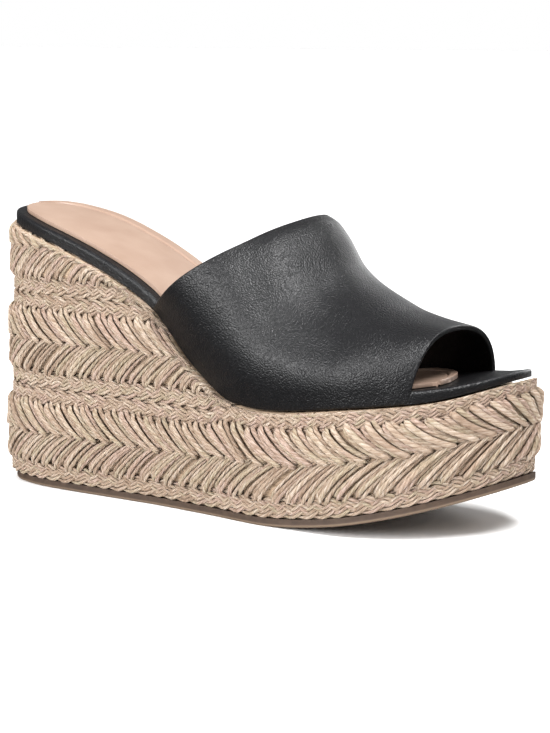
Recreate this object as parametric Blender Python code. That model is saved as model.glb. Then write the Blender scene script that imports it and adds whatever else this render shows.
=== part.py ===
"""Espadrille wedge sandal, the right shoe of a women's pair.

A backless slide: a wedge wrapped in three tiers of braided jute on a thin rubber outsole, a
leather-covered footbed board with a padded sock on it, and one broad leather upper, open at the
collar, at the toe and underneath.
Metres, +Z up, toe to +X, medial side to +Y. The shoe stands on Z = 0.
"""

from math import acos, cos, pi, radians, sin

import bmesh
import bpy
from mathutils import Vector

# Plan size
LENGTH = 0.245
BALL_WIDTH = 0.0875

# Heights
OUTSOLE_THICKNESS = 0.0033
TIER_HEIGHT = 0.0394
RIM_CURL = 0.0027
HEEL_RIM_HEIGHT = 0.1130
TOE_SPRING = 0.0205
TOE_RIM_RISE = 0.0162
INSTEP_RISE = 0.0735

# Walls, boards and pads
BOARD_THICKNESS = 0.0050
BOARD_TIP_THICKNESS = 0.0034
BOARD_EDGE_ROUND = 0.0013
SOCK_THICKNESS = 0.0016
SOCK_CROWN = 0.0012
UPPER_WALL = 0.0022

# Steps in plan, measured inwards from the jute's outer line
OUTSOLE_INSET = 0.0031
BRAID_INSET = 0.0021
SEAM_DEPTH = 0.0032
BOARD_INSET = 0.0042
SOCK_MARGIN = 0.0046
SOCK_END = 0.0008
RIM_MARGIN = 0.0040
RIM_SLOPE = 0.8

# Fits
JOINT_GAP = 0.0003
BOARD_PLAY = 0.0008
FEATHER_THICKNESS = 0.0009
FEATHER_STEP = 0.00025
CUTTER_REACH = 0.012

# Places along the shoe, as shares of LENGTH
SPRING_START = 0.61
SPRING_CURVE = 1.7
BALL_START = 0.612
SEAM_RISE_START = 0.498
SEAM_RISE_END = 0.563
SHANK_START = 0.350
SHANK_END = 0.620
COLLAR_FOOT = 0.378
COLLAR_CROWN = 0.600
TOE_EDGE_FOOT = 0.869
TOE_EDGE_CROWN = 0.891
SKIVE_START = 0.86
SOCK_FRONT_START = 0.755
SOCK_FRONT_TIP = 0.890
SOCK_FRONT_SQUARENESS = 1.7

# Place across the shoe, as a share of BALL_WIDTH
SOCK_TIP_ACROSS = -0.19

# Mesh fineness
STATIONS = 44
UPPER_LENGTHWISE = 14
UPPER_ACROSS = 30
SOCK_ACROSS = 6
SMOOTH_ANGLE = radians(35.0)
WELD = 1e-6
HALVINGS = 30
TANGENT_DEGREES = 0.5
TANGENT_SHARE = 0.004

# (degrees round from the heel tip to the toe tip, lateral half width, medial half width), the widths as
# shares of BALL_WIDTH
OUTLINE = (
    (0.0, 0.000, 0.000),
    (15.0, 0.208, 0.208),
    (30.0, 0.329, 0.327),
    (45.0, 0.387, 0.374),
    (60.0, 0.402, 0.347),
    (75.0, 0.414, 0.308),
    (90.0, 0.452, 0.340),
    (105.0, 0.500, 0.442),
    (120.0, 0.503, 0.489),
    (135.0, 0.433, 0.475),
    (150.0, 0.294, 0.398),
    (165.0, 0.119, 0.266),
    (180.0, -0.078, 0.078),
)

# (share of LENGTH, share of the drop from the heel's rim to the ball's, share of TOE_RIM_RISE)
RIM = (
    (0.000, 1.000, 0.000),
    (0.122, 0.899, 0.000),
    (0.245, 0.754, 0.000),
    (0.367, 0.541, 0.000),
    (0.469, 0.197, 0.000),
    (0.551, 0.020, 0.000),
    (BALL_START, 0.000, 0.000),
    (0.776, 0.000, 0.265),
    (0.898, 0.000, 0.519),
    (1.000, 0.000, 1.000),
)

# (share of the tier's height, share of SEAM_DEPTH, share of BRAID_INSET): one tier from its lower
# narrow braid over the wide herringbone to its upper narrow braid
RIBS = (
    (0.000, 1.0, 0.0),
    (0.040, 0.0, 1.0),
    (0.115, 0.0, 0.9),
    (0.155, 0.9, 0.0),
    (0.210, 0.3, 0.0),
    (0.350, 0.0, 0.0),
    (0.540, 0.0, 0.2),
    (0.700, 0.0, 0.0),
    (0.800, 0.3, 0.0),
    (0.845, 0.9, 0.0),
    (0.885, 0.0, 0.9),
    (0.960, 0.0, 1.0),
    (1.000, 1.0, 0.0),
)

# (share of LENGTH, share of INSTEP_RISE): the upper's ridge, seen from the side
RIDGE = (
    (0.600, 1.000),
    (0.620, 0.968),
    (0.641, 0.895),
    (0.673, 0.738),
    (0.714, 0.640),
    (0.776, 0.557),
    (0.837, 0.500),
    (0.891, 0.476),
)

# (share of the way from collar to toe edge, crown across as a share of BALL_WIDTH,
#  lateral squareness, lateral bulge, medial squareness, medial bulge)
ARCHES = (
    (0.00, 0.091, 2.0, 0.33, 2.5, 0.20),
    (0.35, 0.070, 2.3, 0.16, 2.3, 0.10),
    (0.70, 0.010, 2.6, 0.05, 2.1, 0.04),
    (1.00, -0.055, 3.0, 0.01, 2.1, -0.03),
)

# Finish name to its base colour and roughness
FINISHES = {
    "rubber": ((0.42, 0.24, 0.14, 1.0), 0.70),
    "jute": ((0.56, 0.42, 0.30, 1.0), 0.90),
    "black_leather": ((0.012, 0.012, 0.013, 1.0), 0.42),
    "tan_leather": ((0.72, 0.48, 0.33, 1.0), 0.50),
}


def smooth(x, rows, column):
    """Read a table's column at x, on a curve through its rows that never overshoots them."""
    xs = [row[0] for row in rows]
    ys = [row[column] for row in rows]
    x = min(max(x, xs[0]), xs[-1])
    slopes = [(ys[i + 1] - ys[i]) / (xs[i + 1] - xs[i]) for i in range(len(xs) - 1)]
    tangents = [slopes[0]]
    for before, after in zip(slopes, slopes[1:]):
        same_way = before * after > 0.0
        tangents.append(2.0 * before * after / (before + after) if same_way else 0.0)
    tangents.append(slopes[-1])
    i = max(index for index in range(len(xs) - 1) if xs[index] <= x)
    step = xs[i + 1] - xs[i]
    u = (x - xs[i]) / step
    rise = ys[i] * (1 + 2 * u) * (1 - u) ** 2 + ys[i + 1] * u * u * (3 - 2 * u)
    return rise + step * (tangents[i] * u * (1 - u) ** 2 - tangents[i + 1] * u * u * (1 - u))


def ease(x, start, end):
    """Go from 0 at start to 1 at end, without a corner."""
    u = min(max((x - start) / (end - start), 0.0), 1.0)
    return u * u * (3 - 2 * u)


def outline(angle):
    """Plan point of the jute's outer line; degrees from the heel tip, positive along the lateral side."""
    angle = (angle + 180.0) % 360.0 - 180.0
    x = LENGTH * (1 - cos(radians(angle))) / 2
    if angle >= 0.0:
        return Vector((x, -BALL_WIDTH * smooth(angle, OUTLINE, 1)))
    return Vector((x, BALL_WIDTH * smooth(-angle, OUTLINE, 2)))


def edge(angle, inset):
    """Plan point that lies inset inside the outer line, square to it."""
    along = outline(angle + TANGENT_DEGREES) - outline(angle - TANGENT_DEGREES)
    inwards = Vector((-along.y, along.x)).normalized()
    return outline(angle) + inwards * inset


def edge_across(x, side, inset):
    """Y of the inset line at x, on the lateral (-1) or medial (1) side."""
    low, high = 0.0, 180.0
    for _ in range(HALVINGS):
        middle = (low + high) / 2
        if edge(-side * middle, inset).x < x:
            low = middle
        else:
            high = middle
    return edge(-side * low, inset).y


def ground(x):
    """Underside of the outsole: flat, then the toe spring."""
    past = max(x / LENGTH - SPRING_START, 0.0) / (1 - SPRING_START)
    return TOE_SPRING * past ** SPRING_CURVE


def ball_rim():
    """Height of the jute's rim under the ball of the foot."""
    return OUTSOLE_THICKNESS + TIER_HEIGHT + RIM_CURL


def rim(x):
    """Height of the jute's top, which the footbed and the upper stand on."""
    share = x / LENGTH
    drop = (HEEL_RIM_HEIGHT - ball_rim()) * smooth(share, RIM, 1)
    return ball_rim() + drop + TOE_RIM_RISE * smooth(share, RIM, 2)


def lower_tier_bottom(x):
    return ground(x) + OUTSOLE_THICKNESS + JOINT_GAP


def lower_tier_top(x):
    """Level seam under the heel, which runs up into the rim at the waist."""
    seam = OUTSOLE_THICKNESS + TIER_HEIGHT
    return seam + (rim(x) - seam) * ease(x / LENGTH, SEAM_RISE_START, SEAM_RISE_END)


def middle_tier_bottom(x):
    return lower_tier_top(x) + JOINT_GAP


def middle_tier_top(x):
    return lower_tier_top(x) + TIER_HEIGHT


def upper_tier_bottom(x):
    return middle_tier_top(x) + JOINT_GAP


def upper_tier_top(x):
    return middle_tier_top(x) + TIER_HEIGHT


def station_angles(end=None, extra=()):
    """Angles of the cross-sections from heel to toe, twice as close along the shank's steep curve.

    With an end, they stop at that place along the shoe.
    """
    step = 180.0 / STATIONS
    angles = [step * i for i in range(STATIONS + 1)]
    shank = angle_at(LENGTH * SHANK_START), angle_at(LENGTH * SHANK_END)
    angles += [angle + step / 2 for angle in angles if shank[0] < angle < shank[1]]
    if end is not None:
        stop = angle_at(end)
        angles = [angle for angle in angles if angle < stop - step / 3] + [stop]
    return sorted(set(angles) | set(extra))


def angle_at(x):
    """Degrees round the outline at a place along the shoe."""
    return 180.0 / pi * acos(1 - 2 * x / LENGTH)


def side_ring(angle, profile, height):
    """Closed cross-section: up the lateral side and down the medial side.

    The profile lists (share of the height, inset); height(x, share) gives z.
    """
    ring = []
    for sign, rows in ((1, profile), (-1, reversed(profile))):
        for share, inset in rows:
            place = edge(sign * angle, inset)
            ring.append(Vector((place.x, place.y, height(place.x, share))))
    return ring


def between(bottom, top):
    """Height function that shares out the room between two surfaces."""
    return lambda x, share: bottom(x) + share * (top(x) - bottom(x))


def new_object(name, bm, finish):
    """Turn a bmesh into an object with its own material and soft shading."""
    mesh = bpy.data.meshes.new(name)
    bmesh.ops.recalc_face_normals(bm, faces=bm.faces)
    bm.to_mesh(mesh)
    bm.free()
    mesh.shade_smooth()
    mesh.set_sharp_from_angle(angle=SMOOTH_ANGLE)
    colour, roughness = FINISHES[finish]
    material = bpy.data.materials.new(name + "_" + finish)
    material.use_nodes = True
    shader = material.node_tree.nodes["Principled BSDF"]
    shader.inputs["Base Color"].default_value = colour
    shader.inputs["Roughness"].default_value = roughness
    shader.inputs["Metallic"].default_value = 0.0
    mesh.materials.append(material)
    piece = bpy.data.objects.new(name, mesh)
    bpy.context.scene.collection.objects.link(piece)
    return piece


def loft(name, rings, finish):
    """Bridge equal closed rings into one body.

    An end that pinches shut is welded, and an open end is capped.
    """
    bm = bmesh.new()
    loops = []
    for ring in rings:
        corners = [bm.verts.new(place) for place in ring]
        loops.append([bm.edges.new(pair) for pair in zip(corners, corners[1:] + corners[:1])])
    for before, after in zip(loops, loops[1:]):
        bmesh.ops.bridge_loops(bm, edges=before + after)
    bmesh.ops.remove_doubles(bm, verts=bm.verts, dist=WELD)
    open_edges = [wire for wire in bm.edges if wire.is_boundary]
    if open_edges:
        bmesh.ops.contextual_create(bm, geom=open_edges)
    return new_object(name, bm, finish)


def outsole():
    """Thin rubber sheet under the jute, flat to the ball and sprung at the toe."""
    profile = ((0.0, OUTSOLE_INSET), (1.0, OUTSOLE_INSET))
    height = between(ground, lambda x: ground(x) + OUTSOLE_THICKNESS)
    rings = [side_ring(angle, profile, height) for angle in station_angles()]
    return loft("outsole", rings, "rubber")


def jute_profile():
    """Side of one tier: a narrow braid, the wide herringbone braid and another narrow one."""
    return [(share, seam * SEAM_DEPTH + braid * BRAID_INSET) for share, seam, braid in RIBS]


def tier_end(bottom):
    """Place along the shoe where a cut tier has thinned to its feather edge."""
    x = LENGTH * SEAM_RISE_END
    while rim(x) - bottom(x) < FEATHER_THICKNESS:
        x -= FEATHER_STEP
    return x


def rim_cutter():
    """Everything above the jute's rim, with a margin that falls away outside the footbed's edge."""
    rings = []
    for angle in station_angles():
        ring = []
        for sign in (1, -1):
            shoulder = edge(sign * angle, RIM_MARGIN)
            far = edge(sign * angle, -CUTTER_REACH)
            low = rim(shoulder.x)
            side = [
                (far.x, far.y, low + 2 * TIER_HEIGHT),
                (far.x, far.y, low - (RIM_MARGIN + CUTTER_REACH) * RIM_SLOPE),
                (shoulder.x, shoulder.y, low),
            ]
            ring += [Vector(place) for place in side[::sign]]
        rings.append(ring)
    cutter = loft("rim_cutter", rings, "jute")
    cutter.hide_render = True
    cutter.display_type = "WIRE"
    return cutter


def lower_tier():
    """Tier that runs the whole length and carries the forefoot."""
    height = between(lower_tier_bottom, lower_tier_top)
    rings = [side_ring(angle, jute_profile(), height) for angle in station_angles()]
    return loft("wedge_lower_tier", rings, "jute")


def cut_tier(name, bottom, top, cutter):
    """Tier of full height, cut off along the slope of the rim."""
    angles = station_angles(end=tier_end(bottom))
    rings = [side_ring(angle, jute_profile(), between(bottom, top)) for angle in angles]
    tier = loft(name, rings, "jute")
    cut = tier.modifiers.new("rim", "BOOLEAN")
    cut.operation = "DIFFERENCE"
    cut.solver = "EXACT"
    cut.object = cutter
    return tier


def board_bottom(x):
    return rim(x) + JOINT_GAP


def board_top(x):
    """Top of the board, which is skived thinner towards the toe tip."""
    skived = (BOARD_THICKNESS - BOARD_TIP_THICKNESS) * ease(x / LENGTH, SKIVE_START, 1.0)
    return board_bottom(x) + BOARD_THICKNESS - skived


def notch():
    """Start and end, along the shoe, of the board's narrower stretch beside the upper's wall."""
    return LENGTH * COLLAR_FOOT - BOARD_PLAY - JOINT_GAP, LENGTH * TOE_EDGE_CROWN + BOARD_PLAY


def board_angles():
    """Cross-sections that the board and the sock share, so that their faces run side by side."""
    start, end = notch()
    return station_angles(extra=[angle_at(x) for x in (start - BOARD_PLAY, start, end, end + BOARD_PLAY)])


def footbed():
    """Leather-covered board on the jute, drawn in where the upper's wall stands beside it."""
    notch_start, notch_end = notch()
    halfway = 1 - cos(radians(45.0))
    rings = []
    for angle in board_angles():
        x = outline(angle).x
        beside_wall = notch_start - BOARD_PLAY / 2 < x < notch_end + BOARD_PLAY / 2
        inset = BOARD_INSET + (UPPER_WALL + BOARD_PLAY if beside_wall else 0.0)
        rounding = BOARD_EDGE_ROUND / (board_top(x) - board_bottom(x))
        profile = (
            (0.0, inset),
            (1.0 - rounding, inset),
            (1.0 - rounding * halfway, inset + BOARD_EDGE_ROUND * halfway),
            (1.0, inset + BOARD_EDGE_ROUND),
        )
        rings.append(side_ring(angle, profile, between(board_bottom, board_top)))
    return loft("footbed", rings, "black_leather")


def sock_across(x, side):
    """Y of the sock's edge at x: along the board's edge, then round to the front tip."""
    start = LENGTH * SOCK_FRONT_START
    tip = LENGTH * SOCK_FRONT_TIP
    inset = BOARD_INSET + SOCK_MARGIN
    along = edge_across(x, side, inset)
    if side < 0:
        start = (start + tip) / 2
    past = max(x - start, 0.0) / (tip - start)
    tip_across = BALL_WIDTH * SOCK_TIP_ACROSS
    turn = (1 - past ** SOCK_FRONT_SQUARENESS) ** (1 / SOCK_FRONT_SQUARENESS)
    return tip_across + (along - tip_across) * turn


def sock():
    """Padded leather sock on the board, crowned across and rounded at its front."""
    inset = BOARD_INSET + SOCK_MARGIN
    first = edge(0.0, inset).x
    last = LENGTH * SOCK_FRONT_TIP
    shared = [outline(angle).x for angle in board_angles()]
    places = [first + SOCK_END] + [x for x in shared if first + 2 * SOCK_END < x < last - 2 * SOCK_END]
    places += [last - 2 * SOCK_END, last - SOCK_END / 2]
    rings = []
    for x in places:
        crown = SOCK_CROWN * sin(pi * (x - first) / (last - first))
        lateral = sock_across(x, -1)
        medial = sock_across(x, 1)
        bottom = board_top(x) + JOINT_GAP
        ring = [Vector((x, medial, bottom)), Vector((x, lateral, bottom))]
        for j in range(SOCK_ACROSS + 1):
            share = j / SOCK_ACROSS
            y = lateral + (medial - lateral) * share
            pad = SOCK_THICKNESS + crown * (1 - (2 * share - 1) ** 2)
            ring.append(Vector((x, y, bottom + pad)))
        rings.append(ring)
    return loft("sock", rings, "tan_leather")


def upper_point(along, across):
    """Outer face of the upper.

    Along runs from 0 at the collar to 1 at the toe edge, and across from 0 at the lateral base to 1 at
    the medial one.
    """
    foot_x = LENGTH * (COLLAR_FOOT + (TOE_EDGE_FOOT - COLLAR_FOOT) * along)
    crown_share = COLLAR_CROWN + (TOE_EDGE_CROWN - COLLAR_CROWN) * along
    foot_z = rim(foot_x) + JOINT_GAP
    crown_z = ball_rim() + INSTEP_RISE * smooth(crown_share, RIDGE, 1)
    crown_y = BALL_WIDTH * smooth(along, ARCHES, 1)
    side, column = (-1, 2) if across < 0.5 else (1, 4)
    squareness = smooth(along, ARCHES, column)
    bulge = smooth(along, ARCHES, column + 1)
    up = sin(pi * across) ** (2 / squareness)
    out = abs(cos(pi * across)) ** (2 / squareness)
    x = foot_x + (LENGTH * crown_share - foot_x) * up
    wall_y = edge_across(x, side, BOARD_INSET)
    y = crown_y + (wall_y - crown_y) * out * (1 + bulge * sin(pi * up))
    return Vector((x, y, foot_z + (crown_z - foot_z) * up))


def upper_frame(along, across):
    """Point of the outer face with its outward normal and its direction towards the toe."""
    step = TANGENT_SHARE
    place = upper_point(along, across)
    ahead, behind = min(along + step, 1.0), max(along - step, 0.0)
    medial, lateral = min(across + step, 1.0), max(across - step, 0.0)
    towards_toe = upper_point(ahead, across) - upper_point(behind, across)
    to_medial = upper_point(along, medial) - upper_point(along, lateral)
    outwards = to_medial.cross(towards_toe).normalized()
    if across in (0.0, 1.0):
        outwards = Vector((outwards.x, outwards.y, 0.0)).normalized()
    return place, outwards, towards_toe.normalized()


def upper_ring(along, shift, half_wall):
    """Closed cross-section of the upper's wall: the outer face across, then the inner face back.

    The shift moves it lengthways, towards the toe.
    """
    outer, inner = [], []
    for i in range(UPPER_ACROSS + 1):
        across = i / UPPER_ACROSS
        place, outwards, towards_toe = upper_frame(along, across)
        middle = place - outwards * (UPPER_WALL / 2) + towards_toe * shift
        for chain, sign in ((outer, 1), (inner, -1)):
            point = middle + outwards * (sign * half_wall)
            if i in (0, UPPER_ACROSS):
                point.z = rim(point.x) + JOINT_GAP
            chain.append(point)
    return outer + inner[::-1]


def upper():
    """One leather wall over the instep, folded to a round edge at the collar and at the toe."""
    folds = ((0.0, 0.0), (0.15, 0.36), (0.50, 0.50))
    rings = [upper_ring(0.0, back * UPPER_WALL, half * UPPER_WALL) for back, half in folds]
    for i in range(1, UPPER_LENGTHWISE):
        rings.append(upper_ring(i / UPPER_LENGTHWISE, 0.0, UPPER_WALL / 2))
    rings += [upper_ring(1.0, -back * UPPER_WALL, half * UPPER_WALL) for back, half in reversed(folds)]
    return loft("upper", rings, "black_leather")


def stand_on_origin(pieces):
    """Move every mesh so that the whole shoe's box is centred on the origin in plan."""
    corners = [corner.co for piece in pieces for corner in piece.data.vertices]
    middle_x = (min(c.x for c in corners) + max(c.x for c in corners)) / 2
    middle_y = (min(c.y for c in corners) + max(c.y for c in corners)) / 2
    for piece in pieces:
        piece.location = (-middle_x, -middle_y, 0.0)


def main():
    for old in list(bpy.data.objects):
        bpy.data.objects.remove(old, do_unlink=True)
    cutter = rim_cutter()
    pieces = [
        outsole(),
        lower_tier(),
        cut_tier("wedge_middle_tier", middle_tier_bottom, middle_tier_top, cutter),
        cut_tier("wedge_upper_tier", upper_tier_bottom, upper_tier_top, cutter),
        footbed(),
        sock(),
        upper(),
    ]
    stand_on_origin(pieces)
    cutter.location = pieces[0].location


main()
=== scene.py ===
"""Looks of the espadrille wedge sandal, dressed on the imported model.

Everything is in metres, in the model's frame: +Z up, toe to +X, medial side to +Y, the shoe on Z = 0.
"""

import logging
from dataclasses import dataclass, field
from enum import Enum
from math import cos, pi, radians, sin
from typing import Any, Callable, Optional, Sequence

import bmesh
import bpy
import numpy as np
from mathutils import Matrix, Vector

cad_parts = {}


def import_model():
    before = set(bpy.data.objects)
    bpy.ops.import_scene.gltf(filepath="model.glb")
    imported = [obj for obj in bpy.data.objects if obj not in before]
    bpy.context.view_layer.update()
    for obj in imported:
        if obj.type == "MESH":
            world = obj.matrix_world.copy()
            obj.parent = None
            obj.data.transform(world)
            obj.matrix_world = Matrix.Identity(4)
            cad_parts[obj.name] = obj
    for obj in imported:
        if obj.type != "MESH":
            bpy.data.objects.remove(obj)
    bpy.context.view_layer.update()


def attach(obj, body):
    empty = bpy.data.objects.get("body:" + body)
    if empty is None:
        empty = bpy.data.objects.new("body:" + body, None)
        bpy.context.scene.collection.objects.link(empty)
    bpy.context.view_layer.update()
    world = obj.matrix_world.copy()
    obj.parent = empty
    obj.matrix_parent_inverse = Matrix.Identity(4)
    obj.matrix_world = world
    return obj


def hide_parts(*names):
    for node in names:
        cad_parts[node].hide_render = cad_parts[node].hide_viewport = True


MM = 0.001
YARN_UV = 10 * MM
SEED = 7
WELD = 0.001 * MM
# Rings across the shoe from the heel tip to the toe tip
RINGS = 181
# A chance phase lies anywhere in a little more than a full turn
PHASES = 7.0

log = logging.getLogger("espadrille")


class Side(Enum):
    """A side of this right shoe, as the sign of its Y."""

    LATERAL = -1
    MEDIAL = 1

    @property
    def way(self) -> int:
        """Sign of the angles from the heel tip along this side."""
        return -self.value


class Sum(Enum):
    """What a Math node works out."""

    ADD = "ADD"
    MULTIPLY = "MULTIPLY"
    SCALE_AND_ADD = "MULTIPLY_ADD"
    SINE = "SINE"


class Blend(Enum):
    """How one colour lies over another."""

    COVER = "MIX"
    DARKEN = "MULTIPLY"


# (degrees round from the heel tip to the toe tip, lateral half width, medial half width), the widths as
# shares of the ball's width
OUTLINE = (
    (0.0, 0.000, 0.000),
    (15.0, 0.208, 0.208),
    (30.0, 0.329, 0.327),
    (45.0, 0.387, 0.374),
    (60.0, 0.402, 0.347),
    (75.0, 0.414, 0.308),
    (90.0, 0.452, 0.340),
    (105.0, 0.500, 0.442),
    (120.0, 0.503, 0.489),
    (135.0, 0.433, 0.475),
    (150.0, 0.294, 0.398),
    (165.0, 0.119, 0.266),
    (180.0, -0.078, 0.078),
)

# (share of the length, share of the drop from the heel's rim to the ball's, share of the toe's rise)
RIM = (
    (0.000, 1.000, 0.000),
    (0.122, 0.899, 0.000),
    (0.245, 0.754, 0.000),
    (0.367, 0.541, 0.000),
    (0.469, 0.197, 0.000),
    (0.551, 0.020, 0.000),
    (0.612, 0.000, 0.000),
    (0.776, 0.000, 0.265),
    (0.898, 0.000, 0.519),
    (1.000, 0.000, 1.000),
)

# (share of the length, share of the instep's rise): the upper's ridge, seen from the side
RIDGE = (
    (0.600, 1.000),
    (0.620, 0.968),
    (0.641, 0.895),
    (0.673, 0.738),
    (0.714, 0.640),
    (0.776, 0.557),
    (0.837, 0.500),
    (0.891, 0.476),
)

# (share of the way from collar to toe edge, crown across as a share of the ball's width,
#  lateral squareness, lateral bulge, medial squareness, medial bulge)
ARCHES = (
    (0.00, 0.091, 2.0, 0.33, 2.5, 0.20),
    (0.35, 0.070, 2.3, 0.16, 2.3, 0.10),
    (0.70, 0.010, 2.6, 0.05, 2.1, 0.04),
    (1.00, -0.055, 3.0, 0.01, 2.1, -0.03),
)


def smooth(x: Any, rows: Sequence[Sequence[float]], column: int) -> np.ndarray:
    """Read a table's column on a curve through its rows that never overshoots them.

    Args:
        x: One place or an array of places in the table's first column.
        rows: The table.
        column: Which column to read.

    Returns:
        The value at each place.
    """
    xs = np.array([row[0] for row in rows])
    ys = np.array([row[column] for row in rows])
    x = np.clip(np.asarray(x, float), xs[0], xs[-1])
    slopes = np.diff(ys) / np.diff(xs)
    before, after = slopes[:-1], slopes[1:]
    same_way = before * after > 0.0
    inner = np.where(same_way, 2 * before * after / np.where(same_way, before + after, 1.0), 0.0)
    tangents = np.concatenate((slopes[:1], inner, slopes[-1:]))
    i = np.clip(np.searchsorted(xs, x, side="right") - 1, 0, len(xs) - 2)
    step = xs[i + 1] - xs[i]
    u = (x - xs[i]) / step
    rise = ys[i] * (1 + 2 * u) * (1 - u) ** 2 + ys[i + 1] * u * u * (3 - 2 * u)
    return rise + step * (tangents[i] * u * (1 - u) ** 2 - tangents[i + 1] * u * u * (1 - u))


def ease(x: Any, start: float, end: float) -> np.ndarray:
    """Go from 0 at start to 1 at end, without a corner.

    Args:
        x: One place or an array of places.
        start: Where the change starts.
        end: Where it ends; it may lie below the start.

    Returns:
        The share at each place.
    """
    u = np.clip((np.asarray(x, float) - start) / (end - start), 0.0, 1.0)
    return u * u * (3 - 2 * u)


def soft_floor(x: np.ndarray, rounding: float) -> np.ndarray:
    """Positive part of x, with its corner rounded off.

    Args:
        x: Signed distances.
        rounding: Distance over which the corner is rounded.

    Returns:
        The distances, near zero where x is below zero.
    """
    return rounding * np.logaddexp(0.0, x / rounding)


def linear(hex_colour: str) -> tuple[float, float, float, float]:
    """Turn an sRGB hex colour to linear RGBA.

    Args:
        hex_colour: Six hex digits after a hash.

    Returns:
        Linear red, green, blue and full alpha.
    """
    parts = [int(hex_colour[i : i + 2], 16) / 255 for i in (1, 3, 5)]
    red, green, blue = (c / 12.92 if c <= 0.04045 else ((c + 0.055) / 1.055) ** 2.4 for c in parts)
    return red, green, blue, 1.0


def feed(tree: bpy.types.NodeTree, socket: bpy.types.NodeSocket, value: Any) -> None:
    """Link a node's output to an input, or set the input's value.

    Args:
        tree: Node tree of the material.
        socket: The input.
        value: An output socket, or the value.
    """
    if isinstance(value, bpy.types.NodeSocket):
        tree.links.new(value, socket)
    else:
        socket.default_value = value


def add_node(
    tree: bpy.types.NodeTree,
    kind: str,
    settings: Optional[dict[str, Any]] = None,
    inputs: Optional[dict[Any, Any]] = None,
) -> bpy.types.Node:
    """Add a node with its settings, its values and its links.

    Args:
        tree: Node tree of the material.
        kind: Blender's name of the node's type.
        settings: Properties of the node itself.
        inputs: Values or sockets to link, by the input's name or number.

    Returns:
        The new node.
    """
    node = tree.nodes.new(kind)
    for name, value in (settings or {}).items():
        setattr(node, name, value)
    for name, value in (inputs or {}).items():
        feed(tree, node.inputs[name], value)
    return node


def add_sum(tree: bpy.types.NodeTree, kind: Sum, *values: Any) -> bpy.types.NodeSocket:
    """Add a Math node over the values, in order, and give its result."""
    return add_node(tree, "ShaderNodeMath", {"operation": kind.value}, dict(enumerate(values))).outputs[0]


def add_range(
    tree: bpy.types.NodeTree,
    value: bpy.types.NodeSocket,
    target: tuple[Any, Any],
    source: tuple[float, float] = (0.0, 1.0),
) -> bpy.types.NodeSocket:
    """Move a value from one range to another, held at its ends.

    Args:
        tree: Node tree of the material.
        value: The value.
        target: The range that it goes to.
        source: The range that it comes from.

    Returns:
        The new value.
    """
    ends = {"From Min": source[0], "From Max": source[1], "To Min": target[0], "To Max": target[1]}
    return add_node(tree, "ShaderNodeMapRange", inputs={"Value": value, **ends}).outputs[0]


def add_noise(
    tree: bpy.types.NodeTree, place: Any, scale: float, detail: float = 2.0, roughness: float = 0.5
) -> bpy.types.NodeSocket:
    """Add a cloudy noise.

    Args:
        tree: Node tree of the material.
        place: The coordinate.
        scale: Clouds in a unit of the coordinate.
        detail: How many finer layers it has.
        roughness: How strong the finer layers are.

    Returns:
        The noise, 0 to 1.
    """
    inputs = {"Vector": place, "Scale": scale, "Detail": detail, "Roughness": roughness}
    return add_node(tree, "ShaderNodeTexNoise", inputs=inputs).outputs["Fac"]


def add_mix(
    tree: bpy.types.NodeTree, share: Any, under: Any, over: Any, blend: Blend = Blend.COVER
) -> bpy.types.NodeSocket:
    """Lay one colour over another.

    Args:
        tree: Node tree of the material.
        share: How much of it is laid over.
        under: The first colour.
        over: The colour over it.
        blend: How it lies.

    Returns:
        The mixed colour.
    """
    settings = {"data_type": "RGBA", "blend_type": blend.value}
    return add_node(tree, "ShaderNodeMix", settings, {0: share, 6: under, 7: over}).outputs[2]


def add_ramp(
    tree: bpy.types.NodeTree, share: bpy.types.NodeSocket, stops: Sequence[tuple[float, str]]
) -> bpy.types.NodeSocket:
    """Add a colour ramp.

    Args:
        tree: Node tree of the material.
        share: Where on the ramp.
        stops: Pairs of place and sRGB hex colour, from low to high.

    Returns:
        The colour.
    """
    node = add_node(tree, "ShaderNodeValToRGB", inputs={0: share})
    while len(node.color_ramp.elements) < len(stops):
        node.color_ramp.elements.new(1.0)
    for element, (place, colour) in zip(node.color_ramp.elements, stops):
        element.position = place
        element.color = linear(colour)
    return node.outputs[0]


def new_material(name: str) -> tuple[bpy.types.Material, bpy.types.NodeTree, bpy.types.NodeSocket]:
    """Make a material with one Principled shader.

    Args:
        name: What the finish is.

    Returns:
        The material, its tree and the place on the object in metres.
    """
    material = bpy.data.materials.new(name)
    material.use_nodes = True
    place = add_node(material.node_tree, "ShaderNodeTexCoord").outputs["Object"]
    return material, material.node_tree, place


def set_shader(
    tree: bpy.types.NodeTree, colour: Any, roughness: Any, specular: float, relief: tuple[Any, float, float]
) -> None:
    """Give the shader its colour, gloss and relief.

    Args:
        tree: Node tree of the material.
        colour: Its colour.
        roughness: How matt it is.
        specular: How strong its reflections are.
        relief: The height's socket, how deep a height of 1 is, and the relief's strength.
    """
    height, depth, strength = relief
    inputs = {"Strength": strength, "Distance": depth, "Height": height}
    bump = add_node(tree, "ShaderNodeBump", inputs=inputs)
    shader = tree.nodes["Principled BSDF"]
    feed(tree, shader.inputs["Base Color"], colour)
    feed(tree, shader.inputs["Roughness"], roughness)
    feed(tree, shader.inputs["Normal"], bump.outputs[0])
    shader.inputs["Specular IOR Level"].default_value = specular


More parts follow.
